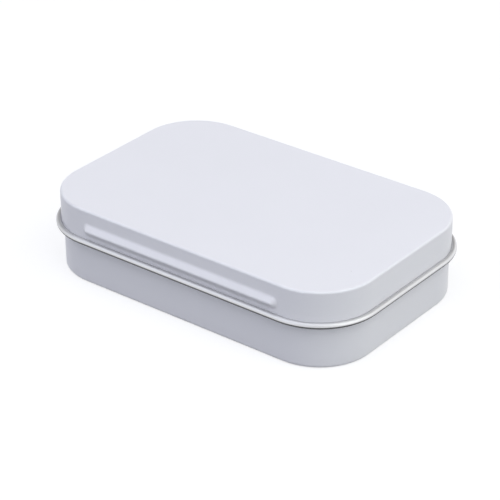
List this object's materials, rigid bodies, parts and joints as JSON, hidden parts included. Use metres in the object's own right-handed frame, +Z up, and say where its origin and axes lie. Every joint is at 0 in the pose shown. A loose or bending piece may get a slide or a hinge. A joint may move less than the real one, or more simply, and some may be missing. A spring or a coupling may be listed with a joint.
{
  "type": "hinged mint tin",
  "caption": "Flat pocket tin with rounded corners, a hinged lid with a rolled edge and a pressed bar along its front, for mints or other small things.",
  "frame": {"origin": "middle of the tin's underside, at the middle of the pan's plan", "axes": "+X along the hinge, -Y to the front with the pressed bar, +Y to the hinge, +Z up"},
  "size_m": [0.095, 0.0633, 0.0212],
  "materials": {
    "white_enamel": "satin white enamel outside, clear lacquered tinplate inside",
    "tinplate": "bare bright tinplate with fine rolling lines"
  },
  "bodies": {
    "tin_base": {"base_pan": "white_enamel", "hinge_tongue_left": "tinplate", "hinge_tongue_right": "tinplate"},
    "tin_lid": {"lid": "white_enamel"}
  },
  "joints": [
    {"name": "lid_hinge", "type": "hinge", "parent": "tin_base", "child": "tin_lid", "pos_m": [0, 0.03046, 0.01255], "axis": [-1, 0, 0], "range_deg": [0, 110]}
  ]
}
